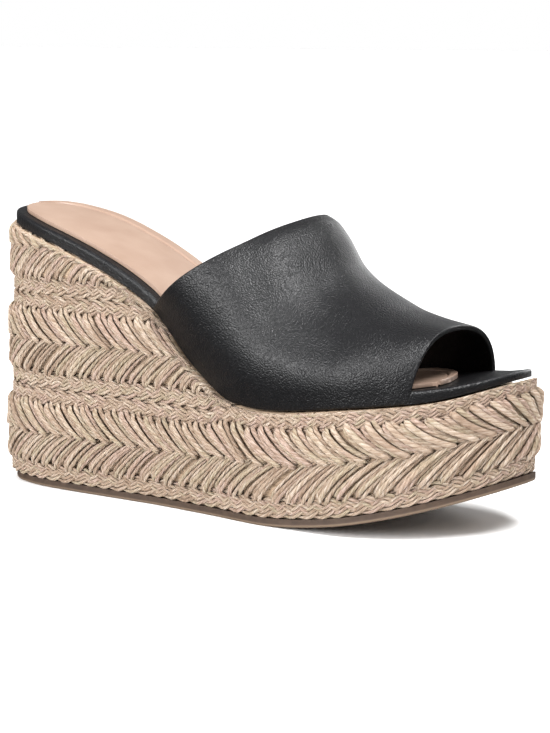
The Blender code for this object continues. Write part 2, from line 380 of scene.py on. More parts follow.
def finish_piece(
    name: str, mesh: bpy.types.Mesh, material: bpy.types.Material, replaced: Sequence[str] = ()
) -> bpy.types.Object:
    """Put a finished mesh in the scene as a piece that rides on the shoe.

    Args:
        name: Name of the piece.
        mesh: Its mesh, in place.
        material: Its finish.
        replaced: CAD nodes that it stands for.

    Returns:
        The piece.
    """
    mesh.materials.clear()
    mesh.materials.append(material)
    piece = bpy.data.objects.new(name, mesh)
    bpy.context.scene.collection.objects.link(piece)
    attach(piece, "root")
    if replaced:
        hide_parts(*replaced)
    log.info("%s: %d faces", name, len(mesh.polygons))
    return piece


def mesh_from(name: str, bm: bmesh.types.BMesh, recalculate: bool = True) -> bpy.types.Mesh:
    """Turn a bmesh into a smooth shaded mesh.

    Args:
        name: Name of the mesh.
        bm: The bmesh, which is freed.
        recalculate: Whether to turn the faces outwards.

    Returns:
        The mesh.
    """
    if recalculate:
        bmesh.ops.recalc_face_normals(bm, faces=bm.faces)
    mesh = bpy.data.meshes.new(name)
    bm.to_mesh(mesh)
    bm.free()
    mesh.shade_smooth()
    return mesh


def grid_mesh(
    name: str, columns: int, rows: int, place: Callable[[np.ndarray, np.ndarray], np.ndarray]
) -> bmesh.types.BMesh:
    """Lay a grid of faces over a surface.

    Args:
        name: Name of the UV map, which holds the two shares.
        columns: Faces along the first share.
        rows: Faces along the second share.
        place: Function from arrays of the two shares, 0 to 1, to points.

    Returns:
        The bmesh.
    """
    bm = bmesh.new()
    bm.loops.layers.uv.new(name)
    bmesh.ops.create_grid(bm, x_segments=columns, y_segments=rows, size=0.5, calc_uvs=True)
    flat = np.array([corner.co for corner in bm.verts])
    points = place(np.clip(flat[:, 0] + 0.5, 0, 1), np.clip(flat[:, 1] + 0.5, 0, 1))
    for corner, point in zip(bm.verts, points):
        corner.co = point
    return bm


def loft(rings: Sequence[np.ndarray]) -> bmesh.types.BMesh:
    """Bridge equal closed rings into one body, weld pinched ends and cap open ones.

    Args:
        rings: Arrays of points, one closed ring each.

    Returns:
        The bmesh.
    """
    bm = bmesh.new()
    loops = []
    for ring in rings:
        corners = [bm.verts.new(point) for point in ring]
        loops.append([bm.edges.new(pair) for pair in zip(corners, corners[1:] + corners[:1])])
    for before, after in zip(loops, loops[1:]):
        bmesh.ops.bridge_loops(bm, edges=before + after)
    bmesh.ops.remove_doubles(bm, verts=bm.verts, dist=WELD)
    open_edges = [wire for wire in bm.edges if wire.is_boundary]
    if open_edges:
        bmesh.ops.contextual_create(bm, geom=open_edges)
    return bm


def yarn_grid(segments: int, sides: int, length: float) -> tuple[bpy.types.Mesh, np.ndarray]:
    """Make one yarn's faces as a flat grid, its UV map in YARN_UV along the yarn and turns round it.

    Args:
        segments: Faces along the yarn.
        sides: Faces round it.
        length: The yarn's length.

    Returns:
        The mesh and the two shares of each of its corners.
    """
    bm = grid_mesh("yarn", segments, sides, lambda along, turn: np.column_stack((along, turn, 0 * along)))
    layer = bm.loops.layers.uv["yarn"]
    for face in bm.faces:
        for loop in face.loops:
            loop[layer].uv.x *= length / YARN_UV
    shares = np.array([corner.co for corner in bm.verts])
    return mesh_from("yarn", bm, recalculate=False), shares


def square_to(step: np.ndarray) -> np.ndarray:
    """Unit vectors a quarter turn anticlockwise from flat steps."""
    step = step / np.hypot(step[:, 0], step[:, 1])[:, None]
    return np.column_stack((-step[:, 1], step[:, 0]))


def place_corners(bm: bmesh.types.BMesh, points: np.ndarray, tones: np.ndarray) -> None:
    """Move the yarns' corners to their places and give each the tone of its yarn.

    Args:
        bm: The yarns' faces.
        points: A place for each corner.
        tones: A tone for each corner.
    """
    tone = bm.verts.layers.float.new("tone")
    for corner, point, value in zip(bm.verts, points, tones):
        corner.co = point
        corner[tone] = value


def round_edges(piece: bpy.types.Object, name: str, width: float, segments: int) -> None:
    """Round a piece's sharp edges.

    Args:
        piece: The piece.
        name: Name of the modifier.
        width: How far the rounding reaches from an edge.
        segments: Faces across it.
    """
    bevel = piece.modifiers.new(name, "BEVEL")
    bevel.width = width
    bevel.segments = segments
    bevel.limit_method = "ANGLE"
    bevel.angle_limit = radians(50)


@dataclass
class ShoeForm:
    """Sizes and main surfaces of the shoe, as the solids have them."""

    length: float = 0.245
    ball_width: float = 0.0875
    outsole_thickness: float = 0.0033
    tier_height: float = 0.0394
    rim_curl: float = 0.0027
    heel_rim_height: float = 0.1130
    toe_spring: float = 0.0205
    toe_rim_rise: float = 0.0162
    instep_rise: float = 0.0735
    spring_start: float = 0.61
    spring_curve: float = 1.7
    seam_rise_start: float = 0.498
    seam_rise_end: float = 0.563
    board_thickness: float = 0.0050
    board_tip_thickness: float = 0.0034
    skive_start: float = 0.86
    board_inset: float = 0.0042
    joint_gap: float = 0.0003
    collar_foot: float = 0.378
    collar_crown: float = 0.600
    toe_edge_foot: float = 0.869
    toe_edge_crown: float = 0.891
    heel_flare: float = 2.6 * MM
    flare_fade: tuple[float, float] = (0.45, 0.15)
    heel_x: float = -0.1225
    middle_y: float = 0.0015
    angle_step: float = 0.5
    walk_angles: np.ndarray = field(default_factory=lambda: np.arange(-180.0, 180.1, 0.5))

    def __post_init__(self) -> None:
        """Measure the way round the sole, for the tapes: `walk` at each angle, and where the heel tip is."""
        places = self.outline(self.walk_angles)
        steps = np.hypot(*np.diff(places, axis=0).T)
        self.walk = np.concatenate(([0.0], np.cumsum(steps)))
        self.heel_walk = float(np.interp(0.0, self.walk_angles, self.walk))

    def outline(self, angle: Any) -> np.ndarray:
        """Plan points of the jute's outer line.

        Args:
            angle: Degrees from the heel tip, positive along the lateral side.

        Returns:
            X and Y, before the shoe is centred.
        """
        angle = (np.asarray(angle, float) + 180.0) % 360.0 - 180.0
        x = self.length * (1 - np.cos(np.radians(angle))) / 2
        lateral = -smooth(angle, OUTLINE, 1)
        medial = smooth(-angle, OUTLINE, 2)
        return np.stack((x, self.ball_width * np.where(angle >= 0.0, lateral, medial)), axis=-1)

    def edge(self, angle: Any, inset: Any) -> np.ndarray:
        """Plan points inside the outer line, square to it.

        Args:
            angle: Degrees from the heel tip, positive along the lateral side.
            inset: Distance inwards.

        Returns:
            X and Y, before the shoe is centred.
        """
        angle = np.asarray(angle, float)
        along = self.outline(angle + self.angle_step) - self.outline(angle - self.angle_step)
        along /= np.hypot(along[..., 0], along[..., 1])[..., None]
        inwards = np.stack((-along[..., 1], along[..., 0]), axis=-1)
        return self.outline(angle) + inwards * np.asarray(inset, float)[..., None]

    def edge_across(self, x: Any, side: Side, inset: float) -> np.ndarray:
        """Y of an inset line.

        Args:
            x: Places along the shoe.
            side: The side that the line is on.
            inset: Distance inwards from the outer line.

        Returns:
            Y at each place.
        """
        line = self.edge(side.way * np.arange(0.0, 180.1, self.angle_step), inset)
        order = np.argsort(line[:, 0])
        return np.interp(x, line[order, 0], line[order, 1])

    def ground(self, x: Any) -> np.ndarray:
        """Underside of the outsole: flat, then the toe spring."""
        past = np.maximum(np.asarray(x) / self.length - self.spring_start, 0.0) / (1 - self.spring_start)
        return self.toe_spring * past**self.spring_curve

    def ball_rim(self) -> float:
        """Height of the jute's rim under the ball of the foot."""
        return self.outsole_thickness + self.tier_height + self.rim_curl

    def rim(self, x: Any) -> np.ndarray:
        """Height of the jute's top, which the footbed and the upper stand on.

        Args:
            x: Places along the shoe.

        Returns:
            The height at each place.
        """
        share = np.asarray(x) / self.length
        drop = (self.heel_rim_height - self.ball_rim()) * smooth(share, RIM, 1)
        return self.ball_rim() + drop + self.toe_rim_rise * smooth(share, RIM, 2)

    def tier_seam(self, x: Any, tier: int) -> np.ndarray:
        """Height of the seam under a tier.

        Args:
            x: Places along the shoe.
            tier: 0 is the lowest tier; 3 gives the top of the highest.

        Returns:
            The seam's height at each place.
        """
        x = np.asarray(x, float)
        if tier == 0:
            return self.ground(x) + self.outsole_thickness + self.joint_gap
        seam = self.outsole_thickness + self.tier_height
        lowest = seam + (self.rim(x) - seam) * ease(x / self.length, self.seam_rise_start, self.seam_rise_end)
        return lowest + (tier - 1) * self.tier_height

    def board_top(self, x: Any) -> np.ndarray:
        """Top of the footbed board, skived thinner towards the toe tip.

        Args:
            x: Places along the shoe.

        Returns:
            The height at each place.
        """
        skive = ease(np.asarray(x) / self.length, self.skive_start, 1.0)
        skived = (self.board_thickness - self.board_tip_thickness) * skive
        return self.rim(x) + self.joint_gap + self.board_thickness - skived

    def section(
        self,
        angle: float,
        profile: Sequence[tuple[float, float]],
        inset: Callable[[float, float], float],
        base: Callable[[float], float],
    ) -> np.ndarray:
        """Closed ring across the shoe: a profile up the lateral side and down the medial one.

        Args:
            angle: Degrees from the heel tip on both sides.
            profile: Pairs of height and step inwards, from the lowest.
            inset: Distance inwards of a height and step of the profile.
            base: Height that the profile stands on, at a place along the shoe.

        Returns:
            The ring's points, in the model's frame.
        """
        ring = []
        for side in Side:
            for height, step in profile[:: side.way]:
                plan = self.edge(side.way * angle, inset(height, step))
                ring.append((plan[0], plan[1], base(plan[0]) + height))
        return self.centred(np.array(ring))

    def upper_point(self, along: Any, across: Any) -> np.ndarray:
        """Outer face of the upper.

        Args:
            along: Share from the collar to the toe edge.
            across: Share from the lateral base over the crown to the medial base.

        Returns:
            Points, before the shoe is centred.
        """
        along, across = np.broadcast_arrays(np.asarray(along, float), np.asarray(across, float))
        foot_x = self.length * (self.collar_foot + (self.toe_edge_foot - self.collar_foot) * along)
        crown_share = self.collar_crown + (self.toe_edge_crown - self.collar_crown) * along
        foot_z = self.rim(foot_x) + self.joint_gap
        crown_z = self.ball_rim() + self.instep_rise * smooth(crown_share, RIDGE, 1)
        crown_y = self.ball_width * smooth(along, ARCHES, 1)
        lateral = across < 0.5
        squareness = np.where(lateral, smooth(along, ARCHES, 2), smooth(along, ARCHES, 4))
        bulge = np.where(lateral, smooth(along, ARCHES, 3), smooth(along, ARCHES, 5))
        up = np.clip(np.sin(pi * across), 0, 1) ** (2 / squareness)
        out = np.abs(np.cos(pi * across)) ** (2 / squareness)
        x = foot_x + (self.length * crown_share - foot_x) * up
        walls = [self.edge_across(x, side, self.board_inset) for side in Side]
        wall_y = np.where(lateral, walls[0], walls[1])
        y = crown_y + (wall_y - crown_y) * out * (1 + bulge * np.sin(pi * up))
        return np.stack((x, y, foot_z + (crown_z - foot_z) * up), axis=-1)

    def flare(self, x: np.ndarray, height: np.ndarray) -> np.ndarray:
        """How far the heel's side leans inwards, as it narrows a little towards the top.

        Args:
            x: Places along the shoe.
            height: Heights above the floor.

        Returns:
            Distances inwards, negative near the floor.
        """
        share = height / self.heel_rim_height - 0.5
        return self.heel_flare * share * ease(x / self.length, *self.flare_fade)

    def centred(self, points: np.ndarray) -> np.ndarray:
        """Move points from the form's own frame, heel tip at X = 0, to the model's."""
        return points + np.array((self.heel_x, self.middle_y, 0.0))

    def side(self, walk: np.ndarray, inset: np.ndarray) -> np.ndarray:
        """Plan points by the distance walked round the sole from the medial toe tip.

        Args:
            walk: Distances along the outer line.
            inset: Distances inwards.

        Returns:
            X and Y, before the shoe is centred.
        """
        angle = np.interp(walk % self.walk[-1], self.walk, self.walk_angles)
        return self.edge(angle, inset)


@dataclass(frozen=True)
class JuteYarn:
    """Spun jute, singles twisted into soft plied yarn: matt, pale straw to pinkish tan, and hairy.

    The fibres are drawn coarser than real ones, which are about 0.05 mm thick, so that they show.
    """

    pale: str = "#B9AC9F"
    straw: str = "#AB9C8E"
    olive: str = "#A59B89"
    pink: str = "#AD9B91"
    dark: str = "#9C8B7D"
    # Painted shade: the darker colour laid into the valleys between the plies.
    groove: str = "#7A6553"
    streaks: tuple[tuple[float, str], ...] = ((0.30, "#A58B74"), (0.48, "#E9DED2"), (0.66, "#FFFFFF"))
    streak_strength: float = 0.75
    lay: float = 11.0 * MM
    girth: float = 6.0 * MM
    plies: int = 3
    fibre: float = 0.35 * MM
    fibre_length: float = 2.8 * MM
    uneven_twist: float = 0.30
    patches: float = 70.0
    patch_strength: float = 1.2
    # How much of each valley the painted shade covers.
    groove_depth: float = 0.6
    fibre_relief: float = 1.6
    relief: float = 0.22 * MM

    def material(self) -> bpy.types.Material:
        """Build the finish: each yarn has its own tone, plied twist and streaky fibres, with painted shade
        laid into the valleys between the plies.

        Returns:
            The material.
        """
        material, tree, place = new_material("plied_jute_yarn")
        tone = add_node(tree, "ShaderNodeAttribute", {"attribute_name": "tone"}).outputs["Fac"]
        uv = add_node(tree, "ShaderNodeUVMap", {"uv_map": "yarn"})
        parts = add_node(tree, "ShaderNodeSeparateXYZ", inputs={0: uv.outputs[0]})
        turns = add_sum(tree, Sum.SCALE_AND_ADD, parts.outputs[0], YARN_UV / self.lay, parts.outputs[1])
        # The fibres run with the twist, so their streaks are laid along the turned coordinate.
        laid = add_node(tree, "ShaderNodeCombineXYZ", inputs={0: parts.outputs[0], 1: turns, 2: tone})
        scale = (YARN_UV / self.fibre_length, self.girth / self.fibre / 2, 50.0)
        stretched = add_node(tree, "ShaderNodeMapping", inputs={"Vector": laid.outputs[0], "Scale": scale})
        fibre = add_noise(tree, stretched.outputs[0], 1.0, detail=3.0, roughness=0.6)
        uneven = add_sum(tree, Sum.SCALE_AND_ADD, fibre, self.uneven_twist, turns)
        ply = add_sum(tree, Sum.SINE, add_sum(tree, Sum.MULTIPLY, uneven, 2 * pi * self.plies))
        patches = add_noise(tree, place, self.patches)
        drift = add_sum(tree, Sum.SCALE_AND_ADD, patches, self.patch_strength, -self.patch_strength / 2)
        stops = (
            (0.0, self.dark),
            (0.22, self.straw),
            (0.42, self.pale),
            (0.6, self.olive),
            (0.75, self.straw),
            (0.92, self.pink),
        )
        hues = add_ramp(tree, add_sum(tree, Sum.ADD, tone, drift), stops)
        streak = add_ramp(tree, fibre, self.streaks)
        streaked = add_mix(tree, self.streak_strength, hues, streak, Blend.DARKEN)
        # The valleys between the plies get the darker groove colour as painted shade.
        painted_valley_shade = add_range(tree, ply, (0.0, self.groove_depth), (-0.5, -1.0))
        mixed = add_mix(tree, painted_valley_shade, streaked, linear(self.groove))
        height = add_sum(tree, Sum.SCALE_AND_ADD, fibre, self.fibre_relief, ply)
        set_shader(tree, mixed, roughness=0.92, specular=0.15, relief=(height, self.relief, 0.8))
        return material


@dataclass(frozen=True)
class JuteCore:
    """Coiled jute behind the plaited tapes, in their shade: coarse, matt brown, darker than the yarn as
    partly painted shade for the gaps between bundles.
    """

    # Both browns sit below the yarn's, partly as painted shade for the gaps between the bundles.
    dark: str = "#86705B"
    pale: str = "#B8A189"
    strands: tuple[float, float, float] = (300.0, 300.0, 900.0)
    relief: float = 0.4 * MM

    def material(self) -> bpy.types.Material:
        """Build the finish.

        Returns:
            The material.
        """
        material, tree, place = new_material("coiled_jute_core")
        mapped = add_node(tree, "ShaderNodeMapping", inputs={"Vector": place, "Scale": self.strands})
        noise = add_noise(tree, mapped.outputs[0], 1.0, detail=3.0)
        colour = add_ramp(tree, noise, ((0.3, self.dark), (0.7, self.pale)))
        set_shader(tree, colour, roughness=0.95, specular=0.5, relief=(noise, self.relief, 1.0))
        return material


@dataclass(frozen=True)
class BlackLeather:
    """Drum-dyed calf with a satin finish: near black, a soft wide sheen broken by a fine pebble grain.

    The grain's cells are drawn about twice as coarse as a calf's, so that they show in the highlights.
    """

    colour: str = "#0E0E10"
    grain: float = 0.62 * MM
    relief: float = 0.22 * MM
    pores: float = -0.6
    gloss: tuple[float, float] = (0.33, 0.43)

    def material(self) -> bpy.types.Material:
        """Build the finish.

        Returns:
            The material.
        """
        material, tree, place = new_material("satin_black_calf")
        inputs = {"Vector": place, "Scale": 1 / self.grain}
        cells = add_node(tree, "ShaderNodeTexVoronoi", {"feature": "F1"}, inputs)
        noise = add_noise(tree, place, 1 / self.grain, detail=1.0)
        height = add_sum(tree, Sum.SCALE_AND_ADD, cells.outputs[0], self.pores, noise)
        gloss = add_range(tree, noise, self.gloss)
        relief = (height, self.relief, 1.0)
        set_shader(tree, linear(self.colour), roughness=gloss, specular=0.45, relief=relief)
        return material


@dataclass(frozen=True)
class TanLeather:
    """Vegetable-dyed lining leather, pressed smooth: warm peach tan with a low satin gloss."""

    colour: str = "#9D8575"
    shade: str = "#957C6C"
    clouds: float = 60.0
    pores: float = 1400.0
    relief: float = 0.1 * MM

    def material(self) -> bpy.types.Material:
        """Build the finish.

        Returns:
            The material.
        """
        material, tree, place = new_material("smooth_tan_lining_leather")
        cloud = add_noise(tree, place, self.clouds, detail=3.0)
        colour = add_ramp(tree, cloud, ((0.35, self.shade), (0.65, self.colour)))
        pores = add_node(tree, "ShaderNodeTexVoronoi", inputs={"Vector": place, "Scale": self.pores})
        relief = (pores.outputs[0], self.relief, 0.15)
        set_shader(tree, colour, roughness=0.40, specular=0.5, relief=relief)
        return material


@dataclass(frozen=True)
class SheetRubber:
    """Moulded tan rubber sheet: matt brown, partly painted shade under the jute, paler along its lower edge,
    ribbed underneath.

    The tread's ribs are drawn a little coarser than real, so that they show from below.
    """

    # The brown is partly painted shade, for the shadow of the jute that overhangs the sheet.
    colour: str = "#4C3B2E"
    dark: str = "#3F3026"
    pale_lower_edge: str = "#6C5A49"
    rib: float = 3.2 * MM
    mottle: float = 350.0
    mottle_relief: float = 0.15
    relief: float = 0.8 * MM

    def material(self) -> bpy.types.Material:
        """Build the finish; a corner attribute gives the sheet's lowest band, which is painted paler.

        Returns:
            The material.
        """
        material, tree, place = new_material("moulded_tan_rubber")
        mottle = add_noise(tree, place, self.mottle, detail=4.0)
        plain = add_ramp(tree, mottle, ((0.3, self.dark), (0.7, self.colour)))
        # The lowest band is painted paler than the brown above it.
        ground = add_node(tree, "ShaderNodeAttribute", {"attribute_name": "pale_lower_edge"})
        mixed = add_mix(tree, ground.outputs["Fac"], plain, linear(self.pale_lower_edge))
        # The attribute "tread" keeps the ribs to the underside, inside a plain margin.
        waves = add_node(
            tree,
            "ShaderNodeTexWave",
            {"wave_type": "BANDS", "bands_direction": "X", "wave_profile": "SIN"},
            {"Vector": place, "Scale": pi / (10 * self.rib), "Distortion": 1.6, "Detail": 0.0},
        )
        below = add_node(tree, "ShaderNodeAttribute", {"attribute_name": "tread"})
        ribs = add_sum(tree, Sum.MULTIPLY, waves.outputs["Fac"], below.outputs["Fac"])
        height = add_sum(tree, Sum.SCALE_AND_ADD, mottle, self.mottle_relief, ribs)
        set_shader(tree, mixed, roughness=0.6, specular=0.5, relief=(height, self.relief, 0.8))
        return material


@dataclass(frozen=True)
class HandPlaiting:
    """How unevenly the plaiter's hand lays the bundles: the spread of each chance difference."""

    slide: float = 0.30 * MM
    run: float = 0.04
    twist: float = 0.35
    twist_spread: float = 0.25
    reach: float = 0.5 * MM
    girth: float = 0.07
    sway: float = 0.12 * MM
    bow: float = 0.22 * MM
    lift: float = 0.10 * MM


@dataclass(frozen=True)
class BraidRow:
    """One row of slanting yarn bundles in a plaited tape.

    A bundle comes out from under the tape's edge, leans steeply, then flattens out to the tape's spine
    and dives under the other row. Heights are shares of the tier's height.
    """

    name: str
    outer: float
    spine: float
    run: float
    pitch: float
    yarns: int
    radius: float
    taper: float
    surface: float
    edge_tuck: float
    spine_tuck: float
    dive: float
    offset: float = 0.0
    segments: int = 11
    sides: int = 6
    lean_out: tuple[float, float] = (0.19, 0.37)
    lean_in: tuple[float, float] = (0.61, 0.81)
    spread: float = 1.70
    fan: float = 0.20
    crown: float = 0.60
    looseness: float = 0.18 * MM
    foot_rounding: float = 0.07
    spine_rounding: float = 0.08
    foot_rise: float = 0.2
    slack: float = 1.35
    hand: HandPlaiting = HandPlaiting()

    def path(self, t: np.ndarray, tier_height: float) -> np.ndarray:
        """Centre line of a bundle on the flat tape.

        Args:
            t: Shares of the way along the bundle.
            tier_height: Height of the tier.

        Returns:
            Distance along the tape and height, at each share.
        """
        start, rise = self.outer * tier_height, (self.spine - self.outer) * tier_height
        posts = [(0.0, start)]
        posts += [(self.run * a, start + rise * b) for a, b in (self.lean_out, self.lean_in)]
        posts += [(self.run, start + rise)]
        weights = ((1 - t) ** 3, 3 * t * (1 - t) ** 2, 3 * t * t * (1 - t), t**3)
        return sum(w[:, None] * np.array(p) for w, p in zip(weights, posts))

    def girth(self, t: np.ndarray) -> np.ndarray:
        """Radius of a yarn along its way, rounded at both ends and thinner at the spine.

        Args:
            t: Shares of the way along the bundle.

        Returns:
            The radius at each share.
        """
        ends = np.clip(1 - (1 - np.clip(t / self.foot_rounding, 0, 1)) ** 2, 0, 1) ** 0.5
        ends = ends * np.clip(1 - (1 - np.clip((1 - t) / self.spine_rounding, 0, 1)) ** 2, 0, 1) ** 0.5
        return self.radius * (1 - (1 - self.taper) * t) * ends

    def depth(self, t: np.ndarray) -> np.ndarray:
        """How far the yarn's centre lies under the tape's surface, besides its radius."""
        return self.edge_tuck * (1 - ease(t, 0.0, self.foot_rise)) + self.spine_tuck * ease(t, self.dive, 1.0)


@dataclass(frozen=True)
class Plait:
    """Narrow three-strand plait along the tape; each strand is a few yarns lying flat beside each other.

    Its middle is a share of the tier's height.
    """

    name: str
    middle: float
    period: float = 21.0 * MM
    swing: float = 1.95 * MM
    lift: float = 0.62 * MM
    edge_fall: float = 0.55 * MM
    yarns: int = 3
    radius: float = 0.76 * MM
    surface: float = 1.7 * MM
    segment: float = 1.5 * MM
    sides: int = 6
    strands: int = 3
    beside: float = 1.85
    wander: float = 0.12 * MM
    wander_length: float = 9.0 * MM

    def line(self, s: np.ndarray, strand: int, tier_height: float) -> np.ndarray:
        """Centre line of a strand on the flat tape.

        Args:
            s: Distances along the tape.
            strand: 0, 1 or 2.
            tier_height: Height of the tier.

        Returns:
            Distance along the tape, height and distance outwards.
        """
        turn = 2 * pi * (s / self.period + strand / self.strands)
        out = -self.surface - self.radius - self.lift - self.lift * np.sin(2 * turn)
        out -= self.edge_fall * np.sin(turn) ** 2
        return np.column_stack((s, self.middle * tier_height + self.swing * np.sin(turn), out))


@dataclass
class JuteTier:
    """One tier of the wedge: two narrow plaits and the wide herringbone between them, over a core."""

    form: ShoeForm
    level: int
    node: str
    front: float
    core_inset: float = 4.3 * MM
    core_bulge: float = 1.1 * MM
    core_drop: float = 0.5 * MM
    toe_fullness: float = 0.24
    rim_gap: float = -0.1 * MM
    fold_radius: float = 1.6 * MM
    heel_roll: float = 2.4 * MM
    roll_fade: tuple[float, float] = (0.35, 0.05)
    core_rings: int = 73
    core_heights: int = 13
    fold_corner: float = 0.2 * MM
    fold_in: float = 5.0 * MM
    loosening: tuple[float, float] = (0.12, 0.24)
    rows: tuple[BraidRow, ...] = (
        BraidRow(
            name="herringbone_under",
            outer=0.135,
            spine=0.560,
            run=20.0 * MM,
            pitch=6.8 * MM,
            yarns=3,
            radius=0.94 * MM,
            taper=0.62,
            surface=0.4 * MM,
            edge_tuck=2.0 * MM,
            spine_tuck=1.6 * MM,
            dive=0.75,
            fan=0.18,
            looseness=0.30 * MM,
        ),
        BraidRow(
            name="herringbone_over",
            outer=0.880,
            spine=0.495,
            run=16.5 * MM,
            pitch=6.8 * MM,
            yarns=3,
            radius=1.00 * MM,
            taper=0.82,
            surface=0.0,
            edge_tuck=2.0 * MM,
            spine_tuck=0.8 * MM,
            dive=0.88,
            offset=3.0 * MM,
        ),
    )
    plaits: tuple[Plait, ...] = (Plait("low_plait", 0.096), Plait("top_plait", 0.908))

    def walk_range(self) -> tuple[float, float]:
        """Where the tapes of this tier start and end on the way round the sole.

        Returns:
            Distances from the medial toe tip round the heel to the lateral side.
        """
        if self.front >= 1.0:
            return 0.0, float(self.form.walk[-1])
        angle = np.degrees(np.arccos(1 - 2 * self.front))
        return tuple(float(np.interp(a, self.form.walk_angles, self.form.walk)) for a in (-angle, angle))

    def on_side(self, points: np.ndarray, surface: float = 0.0) -> tuple[np.ndarray, np.ndarray]:
        """Wrap the flat tape round the side of the sole, folded in along the rim.

        Args:
            points: Distance along the tape, height in the tier and distance outwards.
            surface: How far in the tape's own face lies, which is what the fold brings up to the rim.

        Returns:
            Points in the model's frame, and how far each one went past the rim.
        """
        walk, up, out = points.T
        plan = self.form.side(walk, -out)
        bottom = self.form.tier_seam(plan[:, 0], self.level)
        top = self.form.tier_seam(plan[:, 0], self.level + 1)
        height = bottom + up / self.form.tier_height * (top - bottom)
        inner = self.form.side(walk, np.full(len(walk), self.form.board_inset))
        radius = self.fold_radius + self.heel_roll * ease(inner[:, 0] / self.form.length, *self.roll_fade)
        over = soft_floor(height - self.form.rim(inner[:, 0]) + self.rim_gap + radius, self.fold_corner)
        turn = np.minimum(over / radius, pi / 2)
        past = radius * (1 - np.cos(turn)) + np.maximum(over - radius * pi / 2, 0.0)
        height = height - over + radius * np.sin(turn) + np.minimum(out + surface, 0.0) * np.sin(turn)
        plan = self.form.side(walk, past - out * np.cos(turn) + self.form.flare(inner[:, 0], height))
        return self.form.centred(np.column_stack((plan, height))), past

    def fullness(self, walk: float) -> float:
        """How much fuller the bundles are than at the heel, as the tape loosens towards the toe."""
        return 1.0 + self.toe_fullness * float(ease(abs(walk - self.form.heel_walk), *self.loosening))

    def bundle_places(self, pitch: float) -> list[float]:
        """Share the tape out into whole bundles.

        Args:
            pitch: Distance from bundle to bundle at the heel.

        Returns:
            Where each bundle starts along the tape.
        """
        start, end = self.walk_range()
        places = [start]
        while places[-1] < end:
            places.append(places[-1] + pitch * self.fullness(places[-1]))
        stretch = (end - start) / (places[-1] - start)
        return [start + (place - start) * stretch for place in places[:-1]]

    def row_mesh(self, row: BraidRow, number: int) -> bmesh.types.BMesh:
        """Make every bundle of one row.

        Args:
            row: The row.
            number: Its place in the tier, for the chance tones.

        Returns:
            The bmesh, in the model's frame.
        """
        hand = row.hand
        chance = np.random.default_rng(SEED + 100 * self.level + number)
        strand_mesh, shares = yarn_grid(row.segments, row.sides, row.slack * row.run)
        t, turn = shares[:, 0], shares[:, 1] * 2 * pi
        line = row.path(t, self.form.tier_height)
        step = row.path(np.clip(t + 0.01, 0, 1), self.form.tier_height)
        step = step - row.path(np.clip(t - 0.01, 0, 1), self.form.tier_height)
        square = square_to(step)
        bm = bmesh.new()
        points = []
        tones = []
        for place in self.bundle_places(row.pitch):
            full = self.fullness(place)
            slide = row.offset + chance.normal(0, hand.slide)
            stretch = np.array((full * (1 + chance.normal(0, hand.run)), 1.0))
            rolling = chance.normal(hand.twist, hand.twist_spread) * (t - 0.5) * pi
            reach = np.column_stack((0 * t, chance.normal(0, hand.reach) * (1 - t) ** 2))
            narrowing = full * row.radius * (1 - (1 - row.taper) * t)
            width = row.spread * (1 + row.fan * (1 - t) ** 2) * narrowing
            for yarn in range(row.yarns):
                bm.from_mesh(strand_mesh)
                radius = row.girth(t) * full * (1 + chance.normal(0, hand.girth))
                beside = yarn - (row.yarns - 1) / 2
                sway = chance.normal(0, hand.sway) + chance.normal(0, hand.bow) * np.sin(pi * t)
                sway = sway + chance.normal(0, row.looseness) * (1 - t) ** 2
                aside = beside * np.cos(rolling) * width + sway
                centre = line * stretch + reach + square * aside[:, None]
                centre[:, 0] += place + slide
                flat = centre + square * (radius * np.cos(turn))[:, None]
                raised = narrowing * (row.crown * (1 - 2 * abs(beside)) + 0.5 * beside * np.sin(rolling))
                out = raised - row.surface - row.radius - row.depth(t) + radius * np.sin(turn)
                points.append(np.column_stack((flat, out + chance.normal(0, hand.lift))))
                tones.append(np.full(len(t), chance.random()))
        return self.lay_on(bm, np.concatenate(points), np.concatenate(tones))

    def lay_on(
        self, bm: bmesh.types.BMesh, flat: np.ndarray, tones: np.ndarray, surface: float = 0.0
    ) -> bmesh.types.BMesh:
        """Move a tape's yarns from the flat onto the side of the sole.

        Args:
            bm: The yarns' faces.
            flat: A point on the flat tape for each corner.
            tones: A tone for each corner.
            surface: How far in the tape's own face lies.

        Returns:
            The same bmesh, closed along each yarn.
        """
        placed, past = self.on_side(flat, surface)
        place_corners(bm, placed, tones)
        for corner, over in zip(bm.verts, past):
            corner.tag = over > self.fold_in
        hidden = [face for face in bm.faces if all(corner.tag for corner in face.verts)]
        bmesh.ops.delete(bm, geom=hidden, context="FACES")
        bmesh.ops.remove_doubles(bm, verts=bm.verts, dist=WELD)
        return bm

